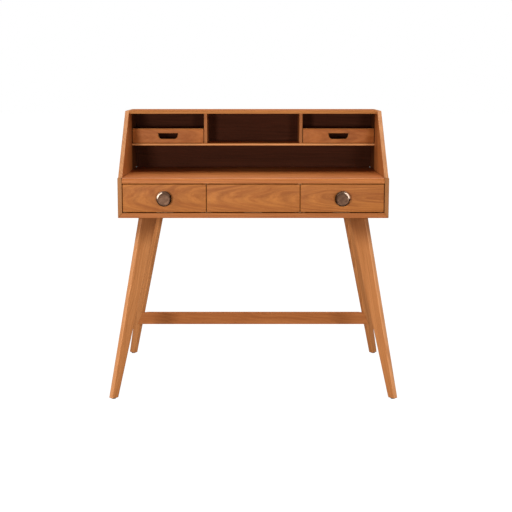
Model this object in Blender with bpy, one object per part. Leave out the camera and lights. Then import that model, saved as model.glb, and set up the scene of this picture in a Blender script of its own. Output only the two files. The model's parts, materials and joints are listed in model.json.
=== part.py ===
"""Writing desk with a sloping hutch, three drawers and two pull-out trays.

Metres, +Z up. The desk stands on Z = 0 and its front faces -Y. X = 0 and Y = 0 run
through the middle of the case, which is also the middle of the four feet.
"""

import math

import bmesh
import bpy
from mathutils import Vector

# ---- Case -----------------------------------------------------------------------------
CASE_WIDTH = 0.939
CASE_DEPTH = 0.495
WORKTOP_HEIGHT = 0.760
SIDE_THICKNESS = 0.0148
WORKTOP_THICKNESS = 0.0193
BOTTOM_THICKNESS = 0.0174
CASE_BACK_THICKNESS = 0.008
PARTITION_THICKNESS = 0.012
WORKTOP_END_GAP = 0.001

# ---- Drawers --------------------------------------------------------------------------
FRONT_HEIGHT = 0.0968
FRONT_THICKNESS = 0.016
GAP_OVER_FRONT = 0.0025
GAP_UNDER_FRONT = 0.003
GAP_BESIDE_FRONT = 0.0025
GAP_BETWEEN_FRONTS = 0.002
SEAM_FROM_CENTRE = 0.1623
GAP_BEHIND_DRAWER = 0.036
DRAWER_WALL = 0.010
DRAWER_BOTTOM_THICKNESS = 0.005
DRAWER_BOTTOM_RAISE = 0.010
DRAWER_SIDE_CLEARANCE = 0.003
DRAWER_TOP_CLEARANCE = 0.012
DRAWER_RUN_CLEARANCE = 0.0005
STOP_LENGTH = 0.060
STOP_WIDTH = 0.016
STOP_HEIGHT = 0.007

# ---- Knobs ----------------------------------------------------------------------------
KNOB_RADIUS = 0.0266
KNOB_DISC = 0.009
KNOB_RIM = 0.003
KNOB_RIM_STEPS = 8
KNOB_NECK_RADIUS = 0.011
KNOB_WAIST_RADIUS = 0.0095
KNOB_NECK = 0.013
KNOB_SCREW_RADIUS = 0.002
KNOB_SCREW_HEAD_RADIUS = 0.0045
KNOB_SCREW_HEAD = 0.003
KNOB_SCREW_GRIP = 0.012

# ---- Hutch ----------------------------------------------------------------------------
HUTCH_HEIGHT = 0.2235
HUTCH_SIDE_THICKNESS = 0.0143
HUTCH_SIDE_INSET = 0.002
HUTCH_FOOT_SETBACK = 0.004
HUTCH_TOP_SETBACK = 0.257
HUTCH_TOP_THICKNESS = 0.0105
HUTCH_BACK_THICKNESS = 0.006
SHELF_SETBACK = 0.339
SHELF_THICKNESS = 0.0094
SHELF_HEIGHT = 0.1006
DIVIDER_THICKNESS = 0.012
DIVIDER_FROM_CENTRE = 0.1778

# ---- Trays ----------------------------------------------------------------------------
TRAY_HEIGHT = 0.0542
TRAY_SETBACK = 0.002
TRAY_FRONT_THICKNESS = 0.012
TRAY_WALL = 0.007
TRAY_BOTTOM_THICKNESS = 0.004
TRAY_BOTTOM_RAISE = 0.004
TRAY_SIDE_CLEARANCE = 0.002
TRAY_BACK_CLEARANCE = 0.003
TRAY_RUN_CLEARANCE = 0.001
SLOT_WIDTH = 0.0758
SLOT_HEIGHT = 0.021
SLOT_FROM_TRAY_TOP = 0.018
SLOT_END_SLOPE = 0.002
SLOT_CORNER_RADIUS = 0.013
SLOT_ARC_STEPS = 6

# ---- Legs and stretcher ---------------------------------------------------------------
LEG_INSET_X = 0.0758
LEG_INSET_Y = 0.011
LEG_SPLAY = 0.1009
LEG_TOP_WIDTH = 0.0712
LEG_FOOT_WIDTH = 0.0277
LEG_THICKNESS = 0.0195
LEG_BOLT_RADIUS = 0.004
LEG_BOLT_HEAD_RADIUS = 0.0065
LEG_BOLT_HEAD = 0.005
LEG_BOLT_GRIP = 0.040
LEG_BOLT_HOLE_SPARE = 0.001
GLIDE_THICKNESS = 0.002
GLIDE_RADIUS = 0.008
STRETCHER_HEIGHT = 0.0469
STRETCHER_THICKNESS = 0.019
STRETCHER_FROM_FLOOR = 0.1293

# ---- Shared fits ----------------------------------------------------------------------
SEAT_GAP = 0.0003
GROOVE_DEPTH = 0.004
ARRIS = 0.0012
WORKTOP_ARRIS = 0.0030
LEG_ARRIS = 0.0030
FINE_ARRIS = 0.0008
ROUND_SIDES = 48
FASTENER_SIDES = 24
BEVEL_FROM_ANGLE = math.radians(30)
SMOOTH_UP_TO_ANGLE = math.radians(35)
SOCKET_SHARE = 0.45
SOCKET_DEPTH_SHARE = 0.6
HEAD_EASE_SHARE = 0.15

# ---- Levels and positions worked out from the sizes above -----------------------------
HALF_WIDTH = CASE_WIDTH / 2
FRONT_Y = -CASE_DEPTH / 2
BACK_Y = CASE_DEPTH / 2
INNER_X = HALF_WIDTH - SIDE_THICKNESS
WORKTOP_UNDERSIDE = WORKTOP_HEIGHT - WORKTOP_THICKNESS
FRONT_TOP_Z = WORKTOP_UNDERSIDE - GAP_OVER_FRONT
FRONT_BOTTOM_Z = FRONT_TOP_Z - FRONT_HEIGHT
CASE_FLOOR_Z = FRONT_BOTTOM_Z - GAP_UNDER_FRONT
CASE_BOTTOM_Z = CASE_FLOOR_Z - BOTTOM_THICKNESS
FRONT_BACK_Y = FRONT_Y + FRONT_THICKNESS

HUTCH_BASE_Z = WORKTOP_HEIGHT + SEAT_GAP
HUTCH_TOP_Z = WORKTOP_HEIGHT + HUTCH_HEIGHT
HUTCH_CEILING_Z = HUTCH_TOP_Z - HUTCH_TOP_THICKNESS
HUTCH_OUTER_X = HALF_WIDTH - HUTCH_SIDE_INSET
HUTCH_INNER_X = HUTCH_OUTER_X - HUTCH_SIDE_THICKNESS
HUTCH_BACK_Y = BACK_Y - HUTCH_BACK_THICKNESS
SHELF_FRONT_Y = FRONT_Y + SHELF_SETBACK
SHELF_TOP_Z = WORKTOP_HEIGHT + SHELF_HEIGHT
SHELF_UNDERSIDE = SHELF_TOP_Z - SHELF_THICKNESS
DIVIDER_OUTER_X = DIVIDER_FROM_CENTRE + DIVIDER_THICKNESS / 2

LEG_FOOT_Z = GLIDE_THICKNESS + SEAT_GAP
LEG_TOP_Z = CASE_BOTTOM_Z - SEAT_GAP
DIAGONAL = math.sqrt(0.5)

LEFT, RIGHT = -1, 1
FRONT, BACK = -1, 1
SIDE_NAMES = {LEFT: "left", RIGHT: "right"}
END_NAMES = {FRONT: "front", BACK: "back"}


# ---- Materials ------------------------------------------------------------------------
def make_material(name, color, roughness, metallic=0.0):
    """One Principled BSDF material with a plain colour."""
    material = bpy.data.materials.new(name)
    material.use_nodes = True
    shader = material.node_tree.nodes["Principled BSDF"]
    shader.inputs["Base Color"].default_value = (*color, 1.0)
    shader.inputs["Roughness"].default_value = roughness
    shader.inputs["Metallic"].default_value = metallic
    return material


# ---- Building blocks ------------------------------------------------------------------
def clear_scene():
    """Remove whatever the scene holds before modelling starts."""
    for obj in list(bpy.data.objects):
        bpy.data.objects.remove(obj, do_unlink=True)


def add_empty(name, position):
    """An empty that carries the pieces of one moving body."""
    empty = bpy.data.objects.new(name, None)
    empty.location = position
    bpy.context.collection.objects.link(empty)
    return empty


def add_object(name, bm, material, parent=None):
    """Turn a bmesh in world coordinates into an object placed by its location."""
    bmesh.ops.recalc_face_normals(bm, faces=bm.faces)
    corners = [vert.co for vert in bm.verts]
    low = Vector(min(co[axis] for co in corners) for axis in range(3))
    high = Vector(max(co[axis] for co in corners) for axis in range(3))
    centre = (low + high) / 2
    bmesh.ops.translate(bm, verts=bm.verts, vec=-centre)
    mesh = bpy.data.meshes.new(name)
    bm.to_mesh(mesh)
    bm.free()
    obj = bpy.data.objects.new(name, mesh)
    if material:
        mesh.materials.append(material)
    bpy.context.collection.objects.link(obj)
    obj.location = centre
    if parent:
        obj.parent = parent
        obj.location = centre - parent.location
    return obj


def add_skin(name, loops, material, parent=None):
    """A closed solid skinned over matching loops of points, flat at both ends."""
    bm = bmesh.new()
    rings = [[bm.verts.new(point) for point in loop] for loop in loops]
    for ring, following in zip(rings, rings[1:]):
        count = len(ring)
        for index in range(count):
            after = (index + 1) % count
            bm.faces.new((ring[index], ring[after], following[after], following[index]))
    bm.faces.new(list(reversed(rings[0])))
    bm.faces.new(rings[-1])
    return add_object(name, bm, material, parent)


def round_edges(obj, width, segments=2):
    """Ease every edge of a solid with a Bevel modifier."""
    bevel = obj.modifiers.new("arris", "BEVEL")
    bevel.width = width
    bevel.segments = segments
    bevel.limit_method = "ANGLE"
    bevel.angle_limit = BEVEL_FROM_ANGLE
    return obj


def box_loops(low, high):
    """The two end loops of a box, at its lowest and highest X."""
    (x0, y0, z0), (x1, y1, z1) = low, high
    return [[(x, y0, z0), (x, y1, z0), (x, y1, z1), (x, y0, z1)] for x in (x0, x1)]


def add_board(name, low, high, material, arris=ARRIS, parent=None):
    """A straight board with eased edges between two opposite corners."""
    obj = add_skin(name, box_loops(low, high), material, parent)
    return round_edges(obj, arris)


def cut(obj, cutter):
    """Take a cutter's shape out of a solid and keep the cutter as a guide."""
    cutter.hide_render = True
    cutter.display_type = "WIRE"
    boolean = obj.modifiers.new("cut_" + cutter.name, "BOOLEAN")
    boolean.operation = "DIFFERENCE"
    boolean.solver = "EXACT"
    boolean.object = cutter
    return obj


def cut_box(obj, label, low, high):
    """Cut a straight-sided pocket between two opposite corners."""
    return cut(obj, add_skin(obj.name + "_" + label, box_loops(low, high), None))


def ring_points(origin, along, radius, height, sides, hexagonal=False):
    """One ring round an axis; a hexagonal ring measures its radius across the flats."""
    across = along.orthogonal().normalized()
    up = along.cross(across)
    points = []
    for step in range(sides):
        angle = 2 * math.pi * step / sides
        reach = radius
        if hexagonal:
            flat = math.pi / 3
            reach = radius / math.cos((angle + flat / 2) % flat - flat / 2)
        offset = across * (reach * math.cos(angle)) + up * (reach * math.sin(angle))
        points.append(origin + along * height + offset)
    return points


def add_turned(name, origin, along, rings, sides, material, parent=None):
    """A turned solid from rings of (radius, height) or (radius, height, hexagonal)."""
    loops = [ring_points(origin, along, ring[0], ring[1], sides, *ring[2:]) for ring in rings]
    obj = add_skin(name, loops, material, parent)
    obj.data.shade_smooth()
    obj.data.set_sharp_from_angle(angle=SMOOTH_UP_TO_ANGLE)
    return obj


def cut_round(obj, label, origin, along, radius, depth, sides=FASTENER_SIDES):
    """Drill a round hole of a given depth along a direction."""
    rings = [(radius, 0.0), (radius, depth)]
    return cut(obj, add_turned(obj.name + "_" + label, origin, along, rings, sides, None))


def add_socket_screw(name, origin, along, shank, head, parent, material):
    """A screw whose head bears at its origin, with a hexagonal socket in the head.

    shank and head are (radius, length); the shank runs along the given direction.
    """
    shank_radius, shank_length = shank
    head_radius, head_height = head
    ease = head_height * HEAD_EASE_SHARE
    socket = head_radius * SOCKET_SHARE
    socket_floor = -head_height * (1 - SOCKET_DEPTH_SHARE)
    rings = [
        (socket, socket_floor, True),
        (socket, -head_height, True),
        (head_radius - ease, -head_height),
        (head_radius, -head_height + ease),
        (head_radius, 0.0),
        (shank_radius, 0.0),
        (shank_radius, shank_length - shank_radius / 2),
        (shank_radius / 2, shank_length),
    ]
    return add_turned(name, origin, along, rings, FASTENER_SIDES, material, parent)


# ---- Case -----------------------------------------------------------------------------
def build_case_side(side, wood):
    """A case side, mitred at its lower end where it meets the bottom panel."""
    outer = side * HALF_WIDTH
    inner = side * INNER_X
    outline = [
        (outer, CASE_BOTTOM_Z),
        (outer, WORKTOP_HEIGHT),
        (inner, WORKTOP_HEIGHT),
        (inner, CASE_FLOOR_Z),
    ]
    loops = [[(x, y, z) for x, z in outline] for y in (FRONT_Y, BACK_Y)]
    return round_edges(add_skin("case_side_" + SIDE_NAMES[side], loops, wood), ARRIS)


def build_case_bottom(wood):
    """The case bottom, mitred at both ends and drilled for the four leg bolts."""
    mitre_gap = SEAT_GAP / DIAGONAL
    low_x = HALF_WIDTH - mitre_gap
    high_x = INNER_X - mitre_gap
    outline = [
        (-low_x, CASE_BOTTOM_Z),
        (low_x, CASE_BOTTOM_Z),
        (high_x, CASE_FLOOR_Z),
        (-high_x, CASE_FLOOR_Z),
    ]
    loops = [[(x, y, z) for x, z in outline] for y in (FRONT_Y, BACK_Y)]
    panel = round_edges(add_skin("case_bottom_panel", loops, wood), FINE_ARRIS)
    for side in (LEFT, RIGHT):
        for end in (FRONT, BACK):
            x, y = leg_bolt_place(side, end)
            start = Vector((x, y, CASE_BOTTOM_Z - BOTTOM_THICKNESS))
            label = "bolt_hole_" + END_NAMES[end] + "_" + SIDE_NAMES[side]
            radius = LEG_BOLT_RADIUS + SEAT_GAP
            cut_round(panel, label, start, Vector((0, 0, 1)), radius, 3 * BOTTOM_THICKNESS)
    return panel


def build_worktop(wood):
    """The writing surface, let in between the case sides."""
    half = INNER_X - WORKTOP_END_GAP
    low = (-half, FRONT_Y, WORKTOP_UNDERSIDE)
    high = (half, BACK_Y, WORKTOP_HEIGHT)
    return add_board("worktop", low, high, wood, WORKTOP_ARRIS)


def build_case_back(wood):
    """The panel that closes the back of the case between its sides."""
    low = (-INNER_X + SEAT_GAP, BACK_Y - CASE_BACK_THICKNESS, CASE_FLOOR_Z + SEAT_GAP)
    high = (INNER_X - SEAT_GAP, BACK_Y, WORKTOP_UNDERSIDE - SEAT_GAP)
    return add_board("case_back_panel", low, high, wood, FINE_ARRIS)


def build_partition(side, wood):
    """An upright between two drawers, standing behind the seam of their fronts."""
    middle = side * SEAM_FROM_CENTRE
    half = PARTITION_THICKNESS / 2
    low = (middle - half, FRONT_BACK_Y + SEAT_GAP, CASE_FLOOR_Z + SEAT_GAP)
    back = BACK_Y - CASE_BACK_THICKNESS - SEAT_GAP
    high = (middle + half, back, WORKTOP_UNDERSIDE - SEAT_GAP)
    return add_board("case_partition_" + SIDE_NAMES[side], low, high, wood, FINE_ARRIS)


# ---- Hutch ----------------------------------------------------------------------------
def build_hutch_side(side, wood):
    """A hutch side standing on the case side, its front edge sloping back."""
    outline = [
        (FRONT_Y + HUTCH_FOOT_SETBACK, HUTCH_BASE_Z),
        (BACK_Y, HUTCH_BASE_Z),
        (BACK_Y, HUTCH_TOP_Z),
        (FRONT_Y + HUTCH_TOP_SETBACK, HUTCH_TOP_Z),
    ]
    faces = (side * HUTCH_INNER_X, side * HUTCH_OUTER_X)
    loops = [[(x, y, z) for y, z in outline] for x in faces]
    return round_edges(add_skin("hutch_side_" + SIDE_NAMES[side], loops, wood), ARRIS)


def build_hutch_top(wood):
    """The top panel between the hutch sides."""
    half = HUTCH_INNER_X - SEAT_GAP
    low = (-half, FRONT_Y + HUTCH_TOP_SETBACK, HUTCH_CEILING_Z)
    return add_board("hutch_top_panel", low, (half, BACK_Y, HUTCH_TOP_Z), wood)


def build_hutch_back(wood):
    """The back panel between the hutch sides, under the top panel."""
    half = HUTCH_INNER_X - SEAT_GAP
    low = (-half, HUTCH_BACK_Y, HUTCH_BASE_Z)
    high = (half, BACK_Y, HUTCH_CEILING_Z - SEAT_GAP)
    return add_board("hutch_back_panel", low, high, wood, FINE_ARRIS)


def build_shelf(wood):
    """The thin shelf that carries the trays."""
    half = HUTCH_INNER_X - SEAT_GAP
    low = (-half, SHELF_FRONT_Y, SHELF_UNDERSIDE)
    high = (half, HUTCH_BACK_Y - SEAT_GAP, SHELF_TOP_Z)
    return add_board("hutch_shelf", low, high, wood)


def build_divider(side, wood):
    """An upright between two cubbies, from the shelf to the top panel."""
    middle = side * DIVIDER_FROM_CENTRE
    half = DIVIDER_THICKNESS / 2
    low = (middle - half, SHELF_FRONT_Y, SHELF_TOP_Z + SEAT_GAP)
    high = (middle + half, HUTCH_BACK_Y - SEAT_GAP, HUTCH_CEILING_Z - SEAT_GAP)
    return add_board("hutch_divider_" + SIDE_NAMES[side], low, high, wood)


# ---- Drawer and tray boxes ------------------------------------------------------------
def build_box_walls(name, low, high, wall, floor, woods, parent):
    """The two sides, the back and the bottom of a drawer or a tray.

    low and high are the outer corners of the box behind its front. floor is the bottom's
    (thickness, height above the lower edge of the sides). The bottom slides into grooves
    in the sides and in the front, and the back stands on it.
    """
    (x0, y0, z0), (x1, y1, z1) = low, high
    wall_wood, bottom_wood = woods
    thickness, raise_height = floor
    groove_low = z0 + raise_height - SEAT_GAP
    groove_high = z0 + raise_height + thickness + SEAT_GAP
    reach = GROOVE_DEPTH + SEAT_GAP
    for side, face in ((LEFT, x0), (RIGHT, x1)):
        inner = face - side * wall
        lows = (min(face, inner), y0, z0)
        highs = (max(face, inner), y1, z1)
        label = name + "_side_" + SIDE_NAMES[side]
        board = add_board(label, lows, highs, wall_wood, FINE_ARRIS, parent)
        deep = inner + side * reach
        proud = inner - side * wall
        pocket_low = (min(deep, proud), y0 - wall, groove_low)
        pocket_high = (max(deep, proud), y1 + wall, groove_high)
        cut_box(board, "groove", pocket_low, pocket_high)
    gap = SEAT_GAP
    back_low = (x0 + wall + gap, y1 - wall, groove_high)
    back_high = (x1 - wall - gap, y1, z1)
    add_board(name + "_back", back_low, back_high, wall_wood, FINE_ARRIS, parent)
    inset = wall - GROOVE_DEPTH
    bottom_low = (x0 + inset, y0 - GROOVE_DEPTH, z0 + raise_height)
    bottom_high = (x1 - inset, y1, z0 + raise_height + thickness)
    loops = box_loops(bottom_low, bottom_high)
    add_skin(name + "_bottom", loops, bottom_wood, parent)


def cut_front_groove(front, box_low, box_high, wall, floor):
    """Groove the back of a front for the bottom, between the two sides."""
    thickness, raise_height = floor
    z0 = box_low[2] + raise_height
    inset = wall - GROOVE_DEPTH - SEAT_GAP
    low = (box_low[0] + inset, box_low[1] - GROOVE_DEPTH - SEAT_GAP, z0 - SEAT_GAP)
    high = (box_high[0] - inset, box_low[1] + wall, z0 + thickness + SEAT_GAP)
    return cut_box(front, "groove", low, high)


def build_drawer(label, front_x, box_x, woods, front_wood, metals, knob):
    """A drawer: its front, box, and where it has one a knob with its screw."""
    centre_x = sum(front_x) / 2
    centre_z = (FRONT_TOP_Z + FRONT_BOTTOM_Z) / 2
    carrier = add_empty("drawer_" + label + "_slide", (centre_x, FRONT_Y, centre_z))
    name = "drawer_" + label
    front_low = (front_x[0], FRONT_Y, FRONT_BOTTOM_Z)
    front_high = (front_x[1], FRONT_BACK_Y, FRONT_TOP_Z)
    front = add_board(name + "_front", front_low, front_high, front_wood, ARRIS, carrier)
    box_low = (box_x[0], FRONT_BACK_Y + SEAT_GAP, CASE_FLOOR_Z + DRAWER_RUN_CLEARANCE)
    box_top = FRONT_TOP_Z - DRAWER_TOP_CLEARANCE
    box_end = BACK_Y - CASE_BACK_THICKNESS - GAP_BEHIND_DRAWER
    box_high = (box_x[1], box_end, box_top)
    floor = (DRAWER_BOTTOM_THICKNESS, DRAWER_BOTTOM_RAISE)
    build_box_walls(name, box_low, box_high, DRAWER_WALL, floor, woods, carrier)
    cut_front_groove(front, box_low, box_high, DRAWER_WALL, floor)
    if knob:
        build_knob(label, front, centre_x, centre_z, metals, carrier)


def build_knob(label, front, x, z, metals, carrier):
    """A broad round knob on a short neck, held by a screw from inside the drawer."""
    knob_metal, screw_metal = metals
    outward = Vector((0, -1, 0))
    seat = Vector((x, FRONT_Y - SEAT_GAP, z))
    bore = KNOB_SCREW_RADIUS + SEAT_GAP
    face = KNOB_NECK + KNOB_DISC
    rings = [
        (bore, KNOB_SCREW_GRIP + SEAT_GAP),
        (bore, 0.0),
        (KNOB_NECK_RADIUS, 0.0),
        (KNOB_WAIST_RADIUS, KNOB_NECK / 2),
        (KNOB_NECK_RADIUS, KNOB_NECK - KNOB_RIM / 2),
        (KNOB_RADIUS - KNOB_RIM, KNOB_NECK),
    ]
    for step in range(1, KNOB_RIM_STEPS):
        angle = math.pi * (step / KNOB_RIM_STEPS - 0.5)
        radius = KNOB_RADIUS - KNOB_RIM + KNOB_RIM * math.cos(angle)
        height = KNOB_NECK + KNOB_DISC / 2 * (1 + math.sin(angle))
        rings.append((radius, height))
    rings.append((KNOB_RADIUS - KNOB_RIM, face))
    rings.append((KNOB_RADIUS - 2 * KNOB_RIM, face - KNOB_RIM / 4))
    name = "knob_" + label
    add_turned(name, seat, outward, rings, ROUND_SIDES, knob_metal, carrier)
    head_seat = Vector((x, FRONT_BACK_Y + SEAT_GAP, z))
    cut_round(front, "knob_hole", head_seat, outward, bore, 2 * FRONT_THICKNESS)
    reach = FRONT_THICKNESS + 2 * SEAT_GAP + KNOB_SCREW_GRIP
    shank = (KNOB_SCREW_RADIUS, reach)
    head = (KNOB_SCREW_HEAD_RADIUS, KNOB_SCREW_HEAD)
    screw_name = "knob_screw_" + label
    add_socket_screw(screw_name, head_seat, outward, shank, head, carrier, screw_metal)


def build_drawers(woods, front_wood, metals, stop_wood):
    """The three drawers and the stop block behind each front."""
    outer_front = INNER_X - GAP_BESIDE_FRONT
    seam = GAP_BETWEEN_FRONTS / 2
    outer_box = INNER_X - DRAWER_SIDE_CLEARANCE
    partition = PARTITION_THICKNESS / 2 + DRAWER_SIDE_CLEARANCE
    near = SEAM_FROM_CENTRE + seam
    bays = {
        "left": ((-outer_front, -near), (-outer_box, -SEAM_FROM_CENTRE - partition), True),
        "center": (
            (-SEAM_FROM_CENTRE + seam, SEAM_FROM_CENTRE - seam),
            (-SEAM_FROM_CENTRE + partition, SEAM_FROM_CENTRE - partition),
            False,
        ),
        "right": ((near, outer_front), (SEAM_FROM_CENTRE + partition, outer_box), True),
    }
    for label, (front_x, box_x, knob) in bays.items():
        build_drawer(label, front_x, box_x, woods, front_wood, metals, knob)
        middle = sum(front_x) / 2
        stop_y = FRONT_BACK_Y + SEAT_GAP
        low = (middle - STOP_LENGTH / 2, stop_y, CASE_FLOOR_Z + SEAT_GAP)
        high = (middle + STOP_LENGTH / 2, stop_y + STOP_WIDTH, CASE_FLOOR_Z + STOP_HEIGHT)
        add_board("drawer_stop_" + label, low, high, stop_wood, FINE_ARRIS)


def slot_outline(middle, top):
    """The finger slot: flat top, ends that slope in, broad round lower corners."""
    half = SLOT_WIDTH / 2
    bottom = top - SLOT_HEIGHT
    radius = SLOT_CORNER_RADIUS
    points = [(middle - half, top), (middle + half, top)]
    centre_x = half - SLOT_END_SLOPE - radius
    centre_z = bottom + radius
    for step in range(SLOT_ARC_STEPS + 1):
        angle = -math.pi / 2 * step / SLOT_ARC_STEPS
        x = centre_x + radius * math.cos(angle)
        points.append((middle + x, centre_z + radius * math.sin(angle)))
    for step in range(SLOT_ARC_STEPS, -1, -1):
        angle = -math.pi / 2 * step / SLOT_ARC_STEPS
        x = centre_x + radius * math.cos(angle)
        points.append((middle - x, centre_z + radius * math.sin(angle)))
    return points


def build_tray(side, woods, front_wood):
    """A low open tray in a side cubby, pulled by the slot in its front."""
    name = "tray_" + SIDE_NAMES[side]
    reach = (DIVIDER_OUTER_X + TRAY_SIDE_CLEARANCE, HUTCH_INNER_X - TRAY_SIDE_CLEARANCE)
    x0, x1 = sorted(side * value for value in reach)
    z0 = SHELF_TOP_Z + TRAY_RUN_CLEARANCE
    z1 = z0 + TRAY_HEIGHT
    y0 = SHELF_FRONT_Y + TRAY_SETBACK
    y1 = HUTCH_BACK_Y - TRAY_BACK_CLEARANCE
    carrier = add_empty(name + "_slide", ((x0 + x1) / 2, y0, (z0 + z1) / 2))
    front_high = (x1, y0 + TRAY_FRONT_THICKNESS, z1)
    front = add_board(name + "_front", (x0, y0, z0), front_high, front_wood, ARRIS, carrier)
    outline = slot_outline((x0 + x1) / 2, z1 - SLOT_FROM_TRAY_TOP)
    through = (y0 - TRAY_FRONT_THICKNESS, y0 + 2 * TRAY_FRONT_THICKNESS)
    loops = [[(x, y, z) for x, z in outline] for y in through]
    cut(front, add_skin(name + "_front_slot", loops, None))
    box_low = (x0, y0 + TRAY_FRONT_THICKNESS + SEAT_GAP, z0)
    box_high = (x1, y1, z1)
    floor = (TRAY_BOTTOM_THICKNESS, TRAY_BOTTOM_RAISE)
    build_box_walls(name, box_low, box_high, TRAY_WALL, floor, woods, carrier)
    cut_front_groove(front, box_low, box_high, TRAY_WALL, floor)


# ---- Legs and stretcher ---------------------------------------------------------------
def leg_edge(side, end, z, inner):
    """The middle of a leg's outer or inner narrow edge at height z.

    Each leg is a tapered board in the vertical plane that runs diagonally from its corner
    to the middle of the desk, so both edges move out as much in X as in Y.
    """
    drop = (LEG_TOP_Z - z) / (LEG_TOP_Z - LEG_FOOT_Z)
    width = LEG_TOP_WIDTH + (LEG_FOOT_WIDTH - LEG_TOP_WIDTH) * drop
    inward = width * DIAGONAL if inner else 0.0
    x = HALF_WIDTH - LEG_INSET_X + LEG_SPLAY * drop - inward
    y = CASE_DEPTH / 2 - LEG_INSET_Y + LEG_SPLAY * drop - inward
    return Vector((side * x, end * y, z))


def leg_bolt_place(side, end):
    """Where a leg's bolt stands: the middle of the leg's top."""
    outer = leg_edge(side, end, LEG_TOP_Z, False)
    inner = leg_edge(side, end, LEG_TOP_Z, True)
    middle = (outer + inner) / 2
    return middle.x, middle.y


def build_leg(side, end, wood, glide_plastic, bolt_metal):
    """A splayed leg with its glide and the bolt that holds it to the case."""
    label = END_NAMES[end] + "_" + SIDE_NAMES[side]
    across = Vector((side * DIAGONAL, -end * DIAGONAL, 0)) * (LEG_THICKNESS / 2)
    corners = [
        leg_edge(side, end, LEG_FOOT_Z, False),
        leg_edge(side, end, LEG_FOOT_Z, True),
        leg_edge(side, end, LEG_TOP_Z, True),
        leg_edge(side, end, LEG_TOP_Z, False),
    ]
    loops = [[corner + face * across for corner in corners] for face in (-1, 1)]
    leg = round_edges(add_skin("leg_" + label, loops, wood), LEG_ARRIS)
    x, y = leg_bolt_place(side, end)
    down = Vector((0, 0, -1))
    hole_top = Vector((x, y, CASE_FLOOR_Z))
    hole_depth = BOTTOM_THICKNESS + SEAT_GAP + LEG_BOLT_GRIP + LEG_BOLT_HOLE_SPARE
    radius = LEG_BOLT_RADIUS + SEAT_GAP
    cut_round(leg, "bolt_hole", hole_top, down, radius, hole_depth)
    head_seat = Vector((x, y, CASE_FLOOR_Z + SEAT_GAP))
    shank = (LEG_BOLT_RADIUS, BOTTOM_THICKNESS + SEAT_GAP + LEG_BOLT_GRIP)
    head = (LEG_BOLT_HEAD_RADIUS, LEG_BOLT_HEAD)
    add_socket_screw("leg_bolt_" + label, head_seat, down, shank, head, None, bolt_metal)
    foot = (corners[0] + corners[1]) / 2
    glide_base = Vector((foot.x, foot.y, 0.0))
    ease = GLIDE_THICKNESS / 4
    rings = [
        (GLIDE_RADIUS - ease, 0.0),
        (GLIDE_RADIUS, ease),
        (GLIDE_RADIUS, GLIDE_THICKNESS),
    ]
    up = Vector((0, 0, 1))
    add_turned("glide_" + label, glide_base, up, rings, FASTENER_SIDES, glide_plastic)


def build_stretcher(wood):
    """The bar between the back legs, its ends cut to the legs' inner edges."""
    low_z = STRETCHER_FROM_FLOOR
    high_z = low_z + STRETCHER_HEIGHT
    middle = leg_edge(RIGHT, BACK, (low_z + high_z) / 2, True)
    edge_line = leg_edge(RIGHT, BACK, high_z, True) - leg_edge(RIGHT, BACK, low_z, True)
    edge_across = Vector((DIAGONAL, -DIAGONAL, 0))
    normal = edge_line.cross(edge_across).normalized()
    if normal.x > 0:
        normal.negate()
    seat = middle + normal * SEAT_GAP
    half = STRETCHER_THICKNESS / 2
    section = [(-half, low_z), (half, low_z), (half, high_z), (-half, high_z)]
    right_end = []
    for offset, z in section:
        y = middle.y + offset
        x = seat.x - (normal.y * (y - seat.y) + normal.z * (z - seat.z)) / normal.x
        right_end.append((x, y, z))
    left_end = [(-x, y, z) for x, y, z in right_end]
    bar = add_skin("rear_stretcher", [left_end, right_end], wood)
    return round_edges(bar, ARRIS)


# ---- Desk -----------------------------------------------------------------------------
def build_desk():
    """Build every piece of the desk."""
    clear_scene()
    wood = make_material("oiled_wood", (0.50, 0.18, 0.05), 0.45)
    edge_wood = make_material("light_edge_wood", (0.60, 0.26, 0.09), 0.45)
    box_wood = make_material("drawer_box_wood", (0.62, 0.42, 0.22), 0.55)
    thin_wood = make_material("thin_panel_wood", (0.45, 0.22, 0.09), 0.60)
    bronze = make_material("aged_bronze", (0.21, 0.11, 0.06), 0.35, 1.0)
    steel = make_material("zinc_steel", (0.55, 0.56, 0.58), 0.35, 1.0)
    nylon = make_material("dark_nylon", (0.03, 0.03, 0.03), 0.60)

    for side in (LEFT, RIGHT):
        build_case_side(side, wood)
        build_partition(side, box_wood)
        build_hutch_side(side, wood)
        build_divider(side, wood)
    build_case_bottom(wood)
    build_case_back(thin_wood)
    build_worktop(edge_wood)
    build_hutch_top(wood)
    build_hutch_back(thin_wood)
    build_shelf(edge_wood)

    build_drawers((box_wood, thin_wood), wood, (bronze, steel), box_wood)
    for side in (LEFT, RIGHT):
        build_tray(side, (box_wood, thin_wood), wood)

    for side in (LEFT, RIGHT):
        for end in (FRONT, BACK):
            build_leg(side, end, wood, nylon, steel)
    build_stretcher(wood)
    bpy.context.view_layer.update()


build_desk()
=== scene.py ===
# %% [markdown]
# # A writing desk with a sloping hutch
#
# The desk is a warm brown oiled hardwood: a shallow case with three inset drawers stands on four
# splayed legs, and a low hutch with cubbies and two trays stands on its back half. The joinery
# comes in as a finished model, and this file gives it its looks: the woods, the metal, the eased
# edges that catch the light, the camera and the lamps.

# %% Load the finished joinery
import json
import math

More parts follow.
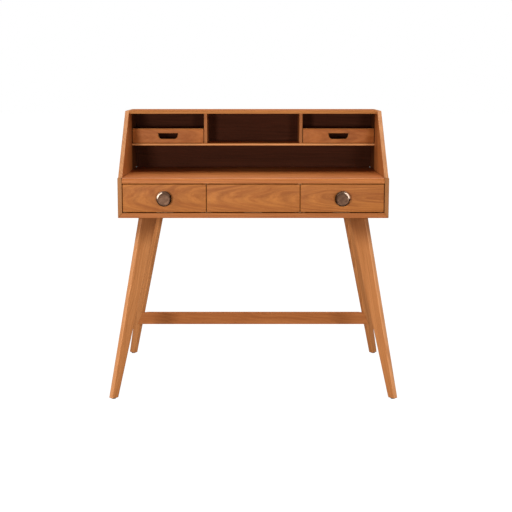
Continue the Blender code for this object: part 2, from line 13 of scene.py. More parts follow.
import bmesh
import bpy
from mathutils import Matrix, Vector

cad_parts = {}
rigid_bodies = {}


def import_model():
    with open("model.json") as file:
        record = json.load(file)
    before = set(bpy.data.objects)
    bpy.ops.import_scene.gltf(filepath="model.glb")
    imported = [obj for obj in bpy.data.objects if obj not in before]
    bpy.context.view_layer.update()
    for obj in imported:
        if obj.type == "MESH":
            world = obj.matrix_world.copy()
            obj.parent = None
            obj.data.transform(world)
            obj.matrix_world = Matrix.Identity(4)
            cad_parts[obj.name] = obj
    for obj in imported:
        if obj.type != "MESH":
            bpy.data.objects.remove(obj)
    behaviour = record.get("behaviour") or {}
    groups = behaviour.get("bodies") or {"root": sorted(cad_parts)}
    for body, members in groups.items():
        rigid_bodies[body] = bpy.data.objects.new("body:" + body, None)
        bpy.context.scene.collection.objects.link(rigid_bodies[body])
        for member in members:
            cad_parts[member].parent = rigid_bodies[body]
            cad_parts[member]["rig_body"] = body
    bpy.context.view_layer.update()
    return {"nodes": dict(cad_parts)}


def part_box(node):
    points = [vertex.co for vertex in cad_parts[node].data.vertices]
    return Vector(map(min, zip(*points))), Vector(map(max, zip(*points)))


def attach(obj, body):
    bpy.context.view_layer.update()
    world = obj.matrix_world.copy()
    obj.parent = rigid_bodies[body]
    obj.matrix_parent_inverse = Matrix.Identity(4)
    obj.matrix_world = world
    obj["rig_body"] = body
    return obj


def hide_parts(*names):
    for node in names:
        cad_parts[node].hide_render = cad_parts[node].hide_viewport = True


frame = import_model()

# %% [markdown]
# ## Shader sums written as sums
#
# Wood is a stack of small sums: a distance from the middle of the tree, a wobble, a fraction of a
# ring. Blender writes each as a Math node. A small class that carries one output socket and knows
# the arithmetic signs lets the sums read as they would on paper.

# %% A socket that can be added, multiplied and raised
class Value:
    """One output socket of a material, with the arithmetic that the finishes use."""

    def __init__(self, finish, socket):
        self.finish = finish
        self.socket = socket

    def maths(self, operation, *terms):
        """A Math node on these terms, numbers or values."""
        return self.finish.node("ShaderNodeMath", {"operation": operation}, dict(enumerate(terms)))

    def __add__(self, other):
        return self.maths("ADD", self, other)

    def __radd__(self, other):
        return self.maths("ADD", other, self)

    def __sub__(self, other):
        return self.maths("SUBTRACT", self, other)

    def __rsub__(self, other):
        return self.maths("SUBTRACT", other, self)

    def __mul__(self, other):
        return self.maths("MULTIPLY", self, other)

    def __rmul__(self, other):
        return self.maths("MULTIPLY", other, self)

    def __truediv__(self, other):
        return self.maths("DIVIDE", self, other)

    def __pow__(self, other):
        return self.maths("POWER", self, other)

    def __abs__(self):
        return self.maths("ABSOLUTE", self)

    def root(self):
        """The square root."""
        return self.maths("SQRT", self)

    def sign(self):
        """Minus one, nought or one."""
        return self.maths("SIGN", self)

    def less_than(self, other):
        """One where this is less than the other, and nought elsewhere."""
        return self.maths("LESS_THAN", self, other)

    def wave(self):
        """A wave from 0 to 1 that repeats every whole number."""
        return self.maths("SINE", self * math.tau) * 0.5 + 0.5


# %% [markdown]
# ## One material, one recipe
#
# Every finish starts as a Principled shader. The recipe adds each node with one call, so that a
# node's settings are always made before its sockets are filled.

# %% A recipe for one finish
class Finish:
    """A material with a Principled shader, built node by node."""

    def __init__(self, name, **fixed):
        self.material = bpy.data.materials.new(name)
        self.material.use_nodes = True
        self.tree = self.material.node_tree
        self.shader = self.tree.nodes["Principled BSDF"]
        for socket, number in fixed.items():
            self.shader.inputs[socket.replace("_", " ")].default_value = number

    def node(self, kind, settings=None, sockets=None, output=0):
        """Add one node: its settings first, then its sockets. Gives one of its outputs."""
        made = self.tree.nodes.new(kind)
        for setting, choice in (settings or {}).items():
            if setting == "stops":
                ramp = made.color_ramp.elements
                while len(ramp) < len(choice):
                    ramp.new(0.5)
                for element, (place, color) in zip(ramp, choice):
                    element.position = place
                    element.color = (*color, 1.0)
            else:
                setattr(made, setting, choice)
        for socket, given in (sockets or {}).items():
            if isinstance(given, Value):
                self.tree.links.new(given.socket, made.inputs[socket])
            else:
                made.inputs[socket].default_value = given
        return Value(self, made.outputs[output])

    def feed(self, socket, value):
        """Link a value to one of the shader's own sockets."""
        self.tree.links.new(value.socket, self.shader.inputs[socket])

    def noise(self, place, scale, detail=2.0, roughness=0.5):
        """Soft noise from 0 to 1 at a place."""
        sockets = {"Vector": place, "Scale": scale, "Detail": detail, "Roughness": roughness}
        return self.node("ShaderNodeTexNoise", {"noise_dimensions": "3D"}, sockets)

    def place(self, x, y, z):
        """A point from three values."""
        return self.node("ShaderNodeCombineXYZ", {}, {0: x, 1: y, 2: z})

    def parts(self, vector):
        """The x, y and z of a point or a direction."""
        return [self.node("ShaderNodeSeparateXYZ", {}, {0: vector}, axis) for axis in range(3)]

    def here(self):
        """The point being coloured, in metres in the desk's own frame."""
        return self.node("ShaderNodeTexCoord", {}, {}, "Object")

    def blend(self, share, first, second, mode="MIX"):
        """Mix two colours by a share."""
        settings = {"data_type": "RGBA", "blend_type": mode}
        first, second = (c if isinstance(c, Value) else (*c, 1.0) for c in (first, second))
        return self.node("ShaderNodeMix", settings, {0: share, 6: first, 7: second}, 2)

    def between(self, value, low, high, to_low=0.0, to_high=1.0):
        """Stretch the part of a value between low and high, and stop at both ends."""
        sockets = {0: value, 1: low, 2: high, 3: to_low, 4: to_high}
        return self.node("ShaderNodeMapRange", {"interpolation_type": "SMOOTHSTEP"}, sockets)

    def relief(self, height, depth, strength=1.0):
        """Turn a height into a bump of a depth in metres."""
        sockets = {"Strength": strength, "Distance": depth, "Height": height}
        self.feed("Normal", self.node("ShaderNodeBump", {}, sockets))


print("the finish recipe is ready")

# %% [markdown]
# ## How a board is sawn
#
# A flat sawn board cuts the tree's rings along their length. Where the cut leans against the
# trunk, the rings come out as nested arches, and far from the middle they run as long stripes. So
# the ring pattern is worked out as a distance from a leaning line, the pith, and a slow wobble
# bends it. Fine fibres and short dark pores run along the board. All of it is measured in metres
# in the desk's own frame, so grain runs on from one drawer front to the next, as it does when
# the fronts are cut from one board.

# %% Wood
DIAGONAL = math.sqrt(0.5)
FOOT_SPREAD = 0.1009
LEG_HEIGHT = 0.619
LEG_SLOPE = FOOT_SPREAD / DIAGONAL / LEG_HEIGHT
INSIDE_SHADE_FADE = 0.012
PORE_DEPTH = 0.00008


def board_places(finish, grain):
    """The three directions of a board: along its grain, across its face, and through it."""
    x, y, z = finish.parts(finish.here())
    if grain == "leg":
        corner = x.sign() * 1.7 + y.sign() * 0.9
        outward = (abs(x) + abs(y)) * DIAGONAL + z * LEG_SLOPE
        sideways = (abs(x) - abs(y)) * DIAGONAL
        return z + corner, outward + corner * 0.13, sideways
    return {"x": (x, z, y), "x flat": (x, y, z), "y": (y, z, x), "z": (z, y, x)}[grain]


def narrow_edges(finish, axis):
    """A share that is 1 on a board's narrow edges and 0 on its faces."""
    x, y, z = finish.parts(finish.node("ShaderNodeNewGeometry", {}, {}, "Normal"))
    if axis == "leg":
        at_x, at_y, _ = finish.parts(finish.here())
        outward = (x * at_x.sign() + y * at_y.sign()) * DIAGONAL
        return finish.between(outward, 0.35, 0.70)
    return 1.0 - finish.between(abs({"x": x, "y": y, "z": z}[axis]), 0.45, 0.75)


def wood(name, grain, light, dark, pith=(0.05, -0.05), spacing=0.007, figure=0.5, wobble=0.012,
         shade=(1.0, 1.0, 1.0), gloss=0.42, middle=(0.0, 0.0), edge_grain_and_highlight=None, sheen=0.12, lively=0.20,
         painted_shade_height=None, painted_shade_inside=None):
    """An oiled hardwood.

    pith is the ring centre's depth at the origin and its lean, and middle moves that centre
    across and through the board. spacing is a ring's width, figure is how dark the late wood
    shows, and wobble bends the rings. shade multiplies red, green and blue. sheen is the shader's
    specular level, and gloss its lowest roughness. lively is half the width of the step between
    light and dark streaks, so less is livelier.

    edge_grain_and_highlight is (axis, gain): where the surface doesn't face along that axis it is
    the board's edge, and its colour is multiplied by the gain; the paler edge is partly long grain
    and partly a painted highlight. painted_shade_height is (low, high, gain): between two heights
    the colour turns to its product with the gain, a painted shade. painted_shade_inside is (depth,
    halfway out, gain): behind that depth, the faces nearer the middle of the desk than halfway
    turn to their product with the gain, a painted shade.
    """
    finish = Finish(name, Specular_IOR_Level=sheen)
    along, across, through = board_places(finish, grain)
    depth, lean = pith
    slow = finish.noise(finish.place(along * 2.2, across * 9.0, through * 9.0), 1.0, 2.0)
    sway = finish.noise(finish.place(along * 7.0, across * 30.0, through * 30.0), 1.0, 2.0)
    bent = (slow - 0.5) * wobble * 4.0 + (sway - 0.5) * wobble
    wide = across - middle[0] + bent
    deep = through - middle[1] + along * lean + depth + bent * 0.5
    radius = (wide * wide + deep * deep).root()
    ring = (radius / spacing).wave()
    late = ring ** 2.2
    tint = finish.noise(finish.place(along * 1.3, across * 26.0, through * 26.0), 1.0, 3.0)
    streak = finish.noise(finish.place(along * 5.0, radius * 290.0, across * 35.0), 1.0, 4.0, 0.65)
    fibre = finish.noise(finish.place(along * 40.0, across * 1500.0, through * 1500.0), 1.0, 2.0)
    tick = finish.noise(finish.place(along * 110.0, across * 2300.0, through * 2300.0), 1.0, 1.0)
    pore = finish.between(tick, 0.62, 0.72)
    light = tuple(part * gain for part, gain in zip(light, shade))
    dark = tuple(part * gain for part, gain in zip(dark, shade))
    share = finish.between(tint * 0.40 + streak * 0.60, 0.5 - lively, 0.5 + lively)
    body = finish.blend(share, dark, light)
    late_color = tuple(part * 0.72 for part in dark)
    ringed = finish.blend(late * figure * 0.45, body, late_color)
    fibred = finish.blend(fibre * 0.22, ringed, tuple(part * 0.60 for part in dark))
    color = finish.blend(pore * 0.38, fibred, tuple(part * 0.35 for part in dark))
    # Paler narrow edges: partly long grain, partly a painted highlight.
    if edge_grain_and_highlight:
        axis, gain = edge_grain_and_highlight
        paler = finish.blend(1.0, color, gain, "MULTIPLY")
        color = finish.blend(narrow_edges(finish, axis), color, paler)
    # Painted shade: the colour darkens between two heights.
    if painted_shade_height:
        low, high, gain = painted_shade_height
        _, _, height = finish.parts(finish.here())
        painted_shade_color = finish.blend(1.0, color, gain, "MULTIPLY")
        color = finish.blend(finish.between(height, low, high), color, painted_shade_color)
    # Painted shade on the inner faces behind a depth.
    if painted_shade_inside:
        front, halfway, gain = painted_shade_inside
        x, y, _ = finish.parts(finish.here())
        inside = abs(x).less_than(halfway)
        behind = finish.between(y, front, front + INSIDE_SHADE_FADE)
        painted_shade_color = finish.blend(1.0, color, gain, "MULTIPLY")
        color = finish.blend(inside * behind, color, painted_shade_color)
    finish.feed("Base Color", color)
    finish.feed("Roughness", gloss + pore * 0.20 + (1.0 - streak) * 0.10)
    finish.relief(fibre * 0.6 - pore + late * 0.5, PORE_DEPTH)
    return finish.material


print("the wood recipe is ready")

# %% [markdown]
# ## The desk's woods
#
# The boards are all one kind of wood, and no two are the same shade. The fronts have the liveliest
# figure. The edges of the boards are a little paler, partly as long grain and partly as a painted
# highlight. The legs carry a painted shade towards their tops, and the hutch sides a painted shade
# inside the cubbies. The panels at the back of the case and the cubbies, and the trays' boxes, are
# a very dark brown, and the insides of the drawers are a plain pale wood.

# %% Stock for every piece
LIGHT = (0.500, 0.172, 0.046)
DARK = (0.330, 0.094, 0.020)
GOLD = (0.560, 0.200, 0.045)
# The edge gains below make each board's edges paler, partly as long grain and partly as a painted
# highlight.
fronts_wood = wood("drawer_front_wood", "x", GOLD, DARK, (0.050, -0.10), 0.0065, 0.60, 0.010,
                   shade=(0.97, 0.95, 0.86), middle=(0.690, -0.2475), lively=0.17)
worktop_wood = wood("worktop_wood", "x flat", LIGHT, DARK, (0.30, 0.02), 0.009, 0.5,
                    shade=(1.12, 1.10, 0.98), edge_grain_and_highlight=("z", (1.12, 1.12, 1.05)), sheen=0.2)
case_wood = wood("case_wood", "z", LIGHT, DARK, (0.20, 0.04), 0.008, 0.45,
                 edge_grain_and_highlight=("x", (0.95, 1.18, 1.42)))
rail_wood = wood("case_bottom_wood", "x flat", LIGHT, DARK, (0.26, 0.03), 0.008, 0.4,
                 edge_grain_and_highlight=("z", (1.10, 1.12, 1.12)))
# The hutch sides darken inside the cubbies behind the shelf's front, a painted shade.
hutch_wood = wood("hutch_wood", "z", LIGHT, DARK, (0.22, 0.05), 0.008, 0.45,
                  shade=(1.15, 1.15, 1.15), edge_grain_and_highlight=("x", (1.06, 1.38, 1.98)),
                  painted_shade_inside=(0.0865, 0.4556, (0.24, 0.20, 0.22)))
divider_wood = wood("divider_wood", "z", LIGHT, DARK, (0.19, 0.05), 0.008, 0.45,
                    shade=(0.85, 0.85, 0.85), edge_grain_and_highlight=("x", (1.15, 1.26, 1.32)))
top_wood = wood("hutch_top_wood", "x flat", LIGHT, DARK, (0.24, -0.03), 0.008, 0.4,
                edge_grain_and_highlight=("z", (1.10, 1.30, 1.42)), sheen=0.04)
shelf_wood = wood("shelf_wood", "x flat", LIGHT, DARK, (0.21, -0.04), 0.008, 0.4,
                  shade=(1.25, 1.25, 1.25), edge_grain_and_highlight=("z", (1.42, 2.00, 3.00)))
tray_wood = wood("tray_front_wood", "x", LIGHT, DARK, (0.09, 0.06), 0.006, 0.5,
                 shade=(1.03, 1.0, 0.84), middle=(0.890, 0.0), edge_grain_and_highlight=("y", (1.40, 2.20, 3.60)),
                 lively=0.16)
# The legs darken towards their tops under the case, a painted shade.
leg_wood = wood("leg_wood", "leg", LIGHT, DARK, (0.06, 0.02), 0.008, 0.5,
                shade=(1.48, 1.78, 2.30), edge_grain_and_highlight=("leg", (1.28, 1.44, 1.80)),
                painted_shade_height=(0.505, 0.600, (0.46, 0.40, 0.36)))
stretcher_wood = wood("stretcher_wood", "x", LIGHT, DARK, (0.10, 0.04), 0.007, 0.45,
                      shade=(1.15, 1.16, 1.22))
PALE = (0.56, 0.34, 0.17)
PALE_DARK = (0.42, 0.22, 0.10)
box_wood = wood("drawer_box_wood", "y", PALE, PALE_DARK, (0.16, 0.03), 0.006, 0.3, gloss=0.5)
box_back_wood = wood("drawer_back_wood", "x", PALE, PALE_DARK, (0.16, 0.03), 0.006, 0.3, gloss=0.5)
panel_wood = wood("drawer_bottom_wood", "x flat", PALE, PALE_DARK, (0.4, 0.02), 0.010, 0.3,
                  gloss=0.55)
# A very dark brown for the back panels of the case and the cubbies, and for the trays' boxes.
VERY_DARK = (0.070, 0.018, 0.0075)
VERY_DARK_LATE = (0.042, 0.011, 0.0045)
back_wood = wood("very_dark_back_wood", "x", VERY_DARK, VERY_DARK_LATE, (0.30, 0.05), 0.012, 0.4, gloss=0.6,
                 sheen=0.03)
tray_box_wood = wood("tray_box_wood", "y", VERY_DARK, VERY_DARK_LATE, (0.16, 0.03), 0.006, 0.3, gloss=0.6,
                     sheen=0.03)
print(len(bpy.data.materials), "materials so far")

# %% [markdown]
# ## Metal and plastic
#
# The knobs are turned bronze that has gone brown with handling, with the fine rings that the
# lathe leaves. The rings are a wave over the distance from the knob's own axis, so each knob has
# its own material. The screws are zinc plated, and each foot stands on a dark nylon glide.

# %% Bronze for the knobs
TOOL_MARK = 0.00002
KNOB_RING = 0.0011
# The bright crescent on each knob's outer upper rim is a painted highlight, and the dark crescent
# on the rim towards the middle of the desk is a painted dark reflection.
RIM_START, RIM_FULL = 0.0185, 0.0215
HIGHLIGHT_OUT, HIGHLIGHT_UP = 0.78, 0.63
DARK_REFLECTION_IN = 1.28
CRESCENT = (0.72, 0.96)
BRONZE_DARK, BRONZE_LIGHT = (0.070, 0.036, 0.022), (0.092, 0.050, 0.031)
BRONZE_PAINTED_DARK_REFLECTION, BRONZE_PAINTED_HIGHLIGHT = (0.022, 0.009, 0.004), (0.80, 0.60, 0.46)


def knob_bronze(center_x, center_z):
    """Aged bronze with turning rings round one knob's own axis.

    The outer upper rim carries a painted highlight, and the rim towards the middle of the desk a
    painted dark reflection.
    """
    side, way = ("left", -1) if center_x < 0 else ("right", 1)
    finish = Finish("aged_bronze_" + side, Metallic=1.0)
    place = finish.here()
    x, _, z = finish.parts(place)
    across, up = x - center_x, z - center_z
    out = (across * across + up * up).root()
    turning = (out / KNOB_RING).wave()
    patina = finish.noise(place, 90.0, 3.0, 0.5)
    worn = finish.between(patina, 0.30, 0.75)
    outward = across * (HIGHLIGHT_OUT * way) / out
    rim = finish.between(out, RIM_START, RIM_FULL)
    # Painted highlight on the outer upper rim, painted dark reflection on the inner rim.
    painted_highlight = finish.between(outward + up / out * HIGHLIGHT_UP, *CRESCENT) * rim
    painted_dark_reflection = finish.between(outward * -DARK_REFLECTION_IN, *CRESCENT) * rim
    color = finish.blend(worn, BRONZE_DARK, BRONZE_LIGHT)
    color = finish.blend(painted_dark_reflection, color, BRONZE_PAINTED_DARK_REFLECTION)
    color = finish.blend(painted_highlight, color, BRONZE_PAINTED_HIGHLIGHT)
    finish.feed("Base Color", color)
    finish.feed("Roughness", 0.42 + (1.0 - worn) * 0.05 + turning * 0.03)
    finish.relief(turning * 0.6 + patina * 0.4, TOOL_MARK)
    return finish.material


print("the bronze recipe is ready")

# %% Zinc and nylon
def plain_metal(name, color, roughness, speck):
    """Plated metal with a fine cloudy roughness."""
    finish = Finish(name, Metallic=1.0)
    cloud = finish.noise(finish.here(), 900.0, 3.0)
    dull = tuple(part * 0.82 for part in color)
    finish.feed("Base Color", finish.blend(cloud, dull, color))
    finish.feed("Roughness", cloud * speck + roughness)
    finish.relief(cloud, TOOL_MARK)
    return finish.material


def nylon(name, color):
    """Moulded dark plastic with a fine matt grain."""
    finish = Finish(name)
    grain = finish.noise(finish.here(), 2400.0, 2.0)
    finish.feed("Base Color", finish.blend(grain, color, tuple(part * 1.6 for part in color)))
    finish.feed("Roughness", grain * 0.2 + 0.5)
    finish.relief(grain, 0.00003)
    return finish.material


zinc = plain_metal("zinc_plate", (0.62, 0.63, 0.65), 0.28, 0.2)
glide_nylon = nylon("glide_nylon", (0.022, 0.021, 0.020))
print("metal and plastic are ready")

# %% [markdown]
# ## Which wood goes where
#
# The joinery pieces keep their shapes, so each only needs its own stock. A table from the start of
# a piece's name to its material is short to read and leaves nothing out.

# %% Give every joinery piece its stock
STOCK = [
    ("case_side", case_wood), ("case_bottom", rail_wood), ("case_back", back_wood),
    ("case_partition", box_wood), ("worktop", worktop_wood), ("hutch_side", hutch_wood),
    ("hutch_top", top_wood), ("hutch_back", back_wood), ("hutch_shelf", shelf_wood),
    ("hutch_divider", divider_wood), ("drawer_stop", box_wood), ("drawer_left_front", fronts_wood),
    ("drawer_center_front", fronts_wood), ("drawer_right_front", fronts_wood),
    ("tray_left_front", tray_wood), ("tray_right_front", tray_wood), ("tray_", tray_box_wood),
    ("leg_bolt", zinc), ("knob_", zinc), ("glide", glide_nylon), ("leg_", leg_wood),
    ("rear_stretcher", stretcher_wood),
]


def stock_for(name):
    """The material of one joinery piece, from the start or the end of its name."""
    for start, material in STOCK:
        if name.startswith(start):
            return material
    if name.endswith("_bottom"):
        return panel_wood
    return box_back_wood if name.endswith("_back") else box_wood


for name, piece in frame["nodes"].items():
    piece.data.materials.clear()
    piece.data.materials.append(stock_for(name))
print("every joinery piece has its stock")

# %% [markdown]
# ## Edges that are rounded by hand
#
# Plain boards look right from afar, and it is their edges that give them away. The worktop's front
# edge, the shelf's nose and the top edge of each tray front are rounded with a moulding plane.
# Each of these boards is built again from its end outline: a rectangle whose four corners have
# their own roundings, carried along the board, with the ends eased the same way.

# %% A board from its end outline
SHARP_TURN = math.radians(38)
SLIGHTEST_ROUNDING = 0.0002


def end_outline(low, high, radii, steps=6):
    """A rectangle with rounded corners: front top, back top, back bottom, front bottom."""
    (y0, z0), (y1, z1) = low, high
    corners = ((y0, z1, 1, -1, math.pi), (y1, z1, -1, -1, math.pi / 2),
               (y1, z0, -1, 1, 0.0), (y0, z0, 1, 1, -math.pi / 2))
    points = []
    for (y, z, in_y, in_z, start), radius in zip(corners, radii):
        for step in range(steps + 1):
            turn = start - math.pi / 2 * step / steps
            points.append((y + in_y * radius + radius * math.cos(turn),
                           z + in_z * radius + radius * math.sin(turn)))
    return points


def skin(name, loops, material):
    """A closed smooth mesh over matching loops of points."""
    made = bmesh.new()
    rows = [[made.verts.new(point) for point in loop] for loop in loops]
    for row, following in zip(rows, rows[1:]):
        for first in range(len(row)):
            second = (first + 1) % len(row)
            made.faces.new((row[first], row[second], following[second], following[first]))
    made.faces.new(rows[0][::-1])
    made.faces.new(rows[-1])
    bmesh.ops.recalc_face_normals(made, faces=made.faces)
    data = bpy.data.meshes.new(name)
    made.to_mesh(data)
    made.free()
    data.shade_smooth()
    data.set_sharp_from_angle(angle=SHARP_TURN)
    data.materials.append(material)
    piece = bpy.data.objects.new(name, data)
    bpy.context.scene.collection.objects.link(piece)
    return piece


def planed_board(node, radii, ease, steps=4):
    """The loops of a board along X in the place of a joinery node."""
    low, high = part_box(node)
    loops = []
    for end, way in ((low.x, 1), (high.x, -1)):
        side = []
        for step in range(steps + 1):
            turn = math.pi / 2 * step / steps
            inset = ease * (1 - math.sin(turn))
            along = end + way * ease * (1 - math.cos(turn))
            outline = end_outline((low.y + inset, low.z + inset), (high.y - inset, high.z - inset),
                                  [max(radius - inset, SLIGHTEST_ROUNDING) for radius in radii])
            side.append([(along, y, z) for y, z in outline])
        loops += side if way == 1 else side[::-1]
    return loops


def stands_for(piece, node):
    """Put a finished piece in a joinery node's place."""
    body = frame["nodes"][node]["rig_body"]
    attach(piece, body)
    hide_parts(node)
    return piece


print("the plane is ready")

# %% Plane the long boards and the drawer fronts
PLANED = [
    ("worktop", (0.0088, 0.0003, 0.0003, 0.0015), 0.0004, worktop_wood, "worktop_wood"),
    ("hutch_shelf", (0.0042, 0.0008, 0.0008, 0.0042), 0.0003, shelf_wood, "hutch_wood"),
    ("hutch_top_panel", (0.0016, 0.0016, 0.0008, 0.0010), 0.0003, top_wood, "hutch_wood"),
]
for side in ("left", "center", "right"):
    PLANED.append(("drawer_" + side + "_front", (0.0022, 0.0005, 0.0005, 0.0030), 0.0020,
                   fronts_wood, "front_wood"))
for node, radii, ease, material, slot in PLANED:
    stands_for(skin(node + "_planed", planed_board(node, radii, ease), material), node)
print(len(PLANED), "boards planed")

# %% [markdown]
# ## Tray fronts
#
# Each tray is pulled by a slot, flat along its top with round lower corners, where two fingers
# hook in. On the real tray the slot's edges are sanded round, so the cutter that makes it flares
# at both faces like the bell of a horn: one cut then leaves a slot with soft edges.

# %% The finger slot's outline
SLOT_HALF = 0.0379
SLOT_TALL = 0.021
SLOT_DROP = 0.018
SLOT_ROUND = 0.013
SLOT_LEAN = 0.002
SANDED = 0.0022
SANDED_STEPS = 6
OVERRUN = 0.002


def slot_loop(middle, top, grown, y, steps=8):
    """The finger slot's outline at one depth, grown by a little near the faces."""
    half = SLOT_HALF + grown
    high = top + grown
    round_off = SLOT_ROUND + grown
    low = top - SLOT_TALL - grown
    near = half - SLOT_LEAN - round_off
    points = []
    for side in (1, -1):
        arc = [(half, high)]
        for step in range(steps + 1):
            turn = math.pi / 2 * step / steps
            arc.append((near + round_off * math.cos(turn),
                        low + round_off - round_off * math.sin(turn)))
        arc = [(middle + side * x, y, z) for x, z in arc]
        points += arc if side == 1 else arc[::-1]
    return points


print("the slot is", 2 * SLOT_HALF, "m wide")

# %% Tray fronts with a sanded slot
def tray_front(side):
    """One tray front with a rounded top edge and its slot."""
    node = "tray_" + side + "_front"
    low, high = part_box(node)
    piece = skin(node + "_planed", planed_board(node, (0.0046, 0.0022, 0.0006, 0.0010), 0.0010),
                 tray_wood)
    middle, top = (low.x + high.x) / 2, high.z - SLOT_DROP
    depths = []
    for step in range(SANDED_STEPS + 1):
        turn = math.pi / 2 * step / SANDED_STEPS
        depths.append((SANDED * (1 - math.cos(turn)), SANDED * (1 - math.sin(turn))))
    loops = [slot_loop(middle, top, SANDED, low.y - OVERRUN)]
    loops += [slot_loop(middle, top, grown, low.y + deep) for deep, grown in depths]
    loops += [slot_loop(middle, top, grown, high.y - deep) for deep, grown in reversed(depths)]
    loops += [slot_loop(middle, top, SANDED, high.y + OVERRUN)]
    cutter = skin("slot_cutter", loops, tray_wood)
    cut = piece.modifiers.new("slot", "BOOLEAN")
    cut.object = cutter
    cut.solver = "EXACT"
    done = piece.evaluated_get(bpy.context.evaluated_depsgraph_get())
    data = bpy.data.meshes.new_from_object(done)
    piece.modifiers.clear()
    piece.data = data
    data.shade_smooth()
    data.set_sharp_from_angle(angle=SHARP_TURN)
    bpy.data.objects.remove(cutter)
    return stands_for(piece, node)


for side in ("left", "right"):
    made = tray_front(side)
    print(made.name, len(made.data.polygons), "faces")

# %% [markdown]
# ## Knobs
#
# A knob is a thick bronze disc on a short waisted neck. It is turned on a lathe, and here too: one
# outline is carried round the knob's own axis.

# %% Turn the two knobs
NECK = [(0.0125, 0.0), (0.0125, 0.0010), (0.0115, 0.0020), (0.0098, 0.0045),
        (0.0095, 0.0070), (0.0102, 0.0095), (0.0125, 0.0118), (0.0180, 0.0127)]
RIM_ROUNDING = 0.0050
DISC_START = 0.0130
FACE_DIP = 0.0003


def turned_knob(node, sides=96):
    """A knob from its outline of (radius, distance in front of the drawer)."""
    low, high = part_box(node)
    center_x, center_z = (low.x + high.x) / 2, (low.z + high.z) / 2
    radius = (high.x - low.x) / 2
    out = high.y - low.y
    outline = list(NECK)
    rim = RIM_ROUNDING
    for step in range(7):
        turn = math.pi / 2 * step / 6
        outline.append((radius - rim + rim * math.sin(turn),
                        DISC_START + rim * (1 - math.cos(turn))))
    for step in range(9):
        turn = math.pi / 2 * step / 8
        outline.append((radius - rim + rim * math.cos(turn), out - rim + rim * math.sin(turn)))
    outline += [(radius - 0.0060, out - 0.0001), (radius - 0.0066, out - FACE_DIP),
                (0.0120, out - FACE_DIP), (0.0040, out - FACE_DIP)]
    loops = []
    for reach, forward in outline:
        loops.append([(center_x + reach * math.cos(math.tau * k / sides), high.y - forward,
                       center_z + reach * math.sin(math.tau * k / sides)) for k in range(sides)])
    material = knob_bronze(center_x, center_z)
    return stands_for(skin(node + "_turned", loops, material), node)


for node in ("knob_left", "knob_right"):
    print(turned_knob(node).name, "turned")

# %% [markdown]
# ## Studio
#
# The desk stands in a white room. A large soft lamp hangs high behind it and shines straight down,
# so that the upper edges are bright and the cubbies fall dark. Two small softboxes stand low in
# front, one on each side, and light the fronts; the left one is the stronger. Two weaker lamps
# fill the sides. The floor and the room look white, and give back only part of that light, as a
# studio sweep does when it is lit by its own lamps.

# %% A softbox
def softbox(name, place, target, size, watts):
    """A square area lamp at a place, turned to a target."""
    lamp = bpy.data.lights.new(name, "AREA")
    lamp.shape = "RECTANGLE"
    lamp.size, lamp.size_y = size
    lamp.energy = watts
    holder = bpy.data.objects.new(name, lamp)
    holder.location = place
    holder.rotation_euler = (Vector(target) - Vector(place)).to_track_quat("-Z", "Y").to_euler()
    bpy.context.scene.collection.objects.link(holder)
    return holder


print("the softbox recipe is ready")

# %% A white floor
FLOOR_HALF = 30
FLOOR_FILL = 0.40
FLOOR_GLOW = 1.12
GLOW_SHARE = 0.93

sweep = bmesh.new()
bmesh.ops.create_grid(sweep, x_segments=1, y_segments=1, size=FLOOR_HALF)
floor_data = bpy.data.meshes.new("floor")
sweep.to_mesh(floor_data)
sweep.free()
floor = bpy.data.objects.new("floor", floor_data)
bpy.context.scene.collection.objects.link(floor)
floor_paint = Finish("floor_paint", Roughness=0.9, Specular_IOR_Level=0.0)
floor_paint.shader.inputs["Base Color"].default_value = (FLOOR_FILL, FLOOR_FILL, FLOOR_FILL, 1.0)
seen = floor_paint.node("ShaderNodeLightPath", {}, {}, "Is Camera Ray")
glow = floor_paint.node("ShaderNodeEmission", {}, {"Color": (1, 1, 1, 1), "Strength": FLOOR_GLOW})
painted = Value(floor_paint, floor_paint.shader.outputs[0])
lit = floor_paint.node("ShaderNodeMixShader", {}, {0: seen * GLOW_SHARE, 1: painted, 2: glow})
surface = floor_paint.tree.nodes["Material Output"].inputs["Surface"]
floor_paint.tree.links.new(lit.socket, surface)
floor_data.materials.append(floor_paint.material)
print("the floor is laid")

# %% White walls
ROOM_FILL = 0.08

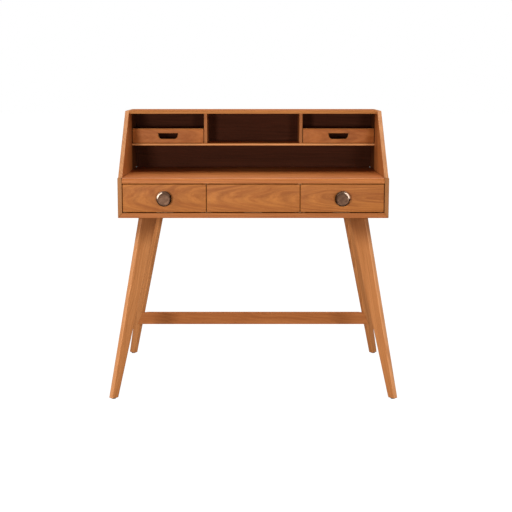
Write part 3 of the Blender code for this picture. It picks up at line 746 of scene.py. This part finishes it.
room = bpy.data.worlds.new("white_room")
room.use_nodes = True
walls = room.node_tree
walls.nodes["Background"].inputs["Color"].default_value = (1.0, 1.0, 1.0, 1.0)
path = walls.nodes.new("ShaderNodeLightPath")
level = walls.nodes.new("ShaderNodeMapRange")
level.inputs["To Min"].default_value = ROOM_FILL
level.inputs["To Max"].default_value = 1.0
walls.links.new(path.outputs["Is Camera Ray"], level.inputs["Value"])
walls.links.new(level.outputs["Result"], walls.nodes["Background"].inputs["Strength"])
bpy.context.scene.world = room
print("the room is white")

# %% Lamps
DESK_MIDDLE = (0.0, 0.0, 0.6)
LAMPS = [
    ("overhead_lamp", (0.0, 0.70, 3.0), (0.0, 0.70, 0.0), (2.2, 1.9), 82),
    ("left_softbox", (-0.95, -3.5, 0.86), DESK_MIDDLE, (0.4, 0.4), 57),
    ("right_softbox", (0.95, -3.5, 0.86), DESK_MIDDLE, (0.4, 0.4), 35),
    ("left_side_lamp", (-2.8, -1.6, 1.5), DESK_MIDDLE, (1.0, 1.0), 26),
    ("right_side_lamp", (2.8, -1.6, 1.5), DESK_MIDDLE, (1.0, 1.0), 18),
]
for name, place, target, size, watts in LAMPS:
    softbox(name, place, target, size, watts)
bpy.context.scene.view_settings.view_transform = "Standard"
print(len(LAMPS), "lamps are lit")

# %% [markdown]
# ## Camera
#
# The desk is seen square on from a little above the hutch. The camera looks down by eight degrees,
# and a little of its lens shift puts the desk in the middle of the frame.

# %% A camera that looks down a little
CAMERA_PLACE = (0.0, -4.125, 1.105)
LOOK_DOWN = 8.0

view = bpy.data.cameras.new("front_camera")
view.lens = 79.2
view.sensor_width = 36.0
view.shift_x = 0.00535
view.shift_y = -0.04
view.dof.use_dof = False
camera = bpy.data.objects.new("front_camera", view)
camera.location = CAMERA_PLACE
camera.rotation_euler = (math.radians(90 - LOOK_DOWN), 0.0, 0.0)
bpy.context.scene.collection.objects.link(camera)
bpy.context.scene.camera = camera
print("the camera is", -CAMERA_PLACE[1], "m in front of the desk's middle")

# %% [markdown]
# ## The end
#
# The finished desk has to stay in the joinery's own box.

# %% Finish
print("the scene is set")
